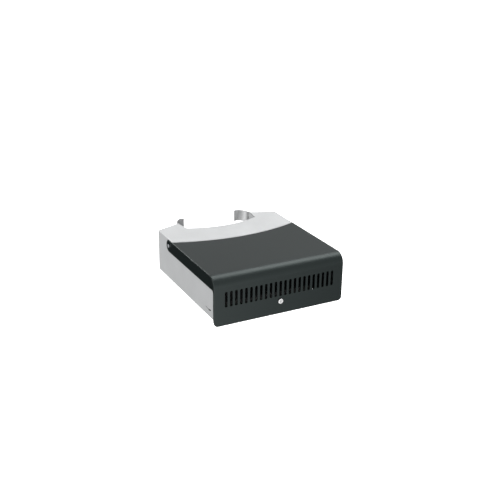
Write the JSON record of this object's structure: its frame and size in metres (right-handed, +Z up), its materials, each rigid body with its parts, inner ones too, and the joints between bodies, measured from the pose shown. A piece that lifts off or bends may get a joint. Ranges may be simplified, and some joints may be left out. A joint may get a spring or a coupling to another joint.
{
  "type": "column-mounted equipment box",
  "caption": "Flat lockable vented sheet-steel box with a hinged cover, a saddle-shaped back and claws that hook round an oval column.",
  "frame": {"origin": "on the oval column's axis, level with the lower edge of the cover's front panel", "axes": "+Z up along the column's axis, +Y from the front panel towards the column, +X to the right seen from the front"},
  "size_m": [0.4336, 0.4991, 0.1512],
  "materials": {
    "body_paint": "fine-textured silver-grey powder coat",
    "cover_paint": "fine-textured charcoal powder coat, satin",
    "rubber": "matt black EPDM",
    "strap_weave": "black woven hook-and-loop strap",
    "white_nylon": "moulded natural nylon",
    "black_nylon": "moulded black nylon",
    "lock_chrome": "bright chrome-plated die casting",
    "plug_nickel": "satin nickel-plated die casting",
    "wafer_brass": "stamped brass",
    "zinc": "bright zinc-plated steel",
    "blackened_steel": "black zinc-plated steel"
  },
  "bodies": {
    "body": {"body_shell": "body_paint", "saddle_wall": "body_paint", "cable_port_trim": "rubber", "claw_right": "zinc", "claw_left": "zinc", "claw_screws": "zinc", "claw_nuts": "zinc", "column_pads": "rubber", "base_tray": "cover_paint", "strap_front": "strap_weave", "strap_rear": "strap_weave", "strike_plate": "zinc", "strike_rivets": "zinc", "cable_tie_bases": "white_nylon", "tie_base_screws": "zinc", "earth_stud": "zinc", "earth_washers": "zinc", "earth_nut": "zinc", "cover_bumpers": "rubber", "pivot_screw_right": "blackened_steel", "pivot_screw_left": "blackened_steel", "pivot_washer_right": "zinc", "pivot_washer_left": "zinc", "pivot_nut_right": "zinc", "pivot_nut_left": "zinc"},
    "cover": {"cover": "cover_paint", "pivot_bush_right": "black_nylon", "pivot_bush_left": "black_nylon", "lock_body": "lock_chrome", "lock_washer": "zinc", "lock_nut": "zinc"},
    "lock": {"lock_plug": "plug_nickel", "lock_wafers": "wafer_brass", "lock_cam": "zinc", "cam_screw": "zinc"}
  },
  "joints": [
    {"name": "cover_hinge", "type": "hinge", "parent": "body", "child": "cover", "pos_m": [0, -0.118, 0.131], "axis": [-1, 0, 0], "range_deg": [0, 95]},
    {"name": "lock_turn", "type": "hinge", "parent": "cover", "child": "lock", "pos_m": [0, -0.4236, 0.04], "axis": [0, 1, 0], "range_deg": [0, 180]}
  ]
}
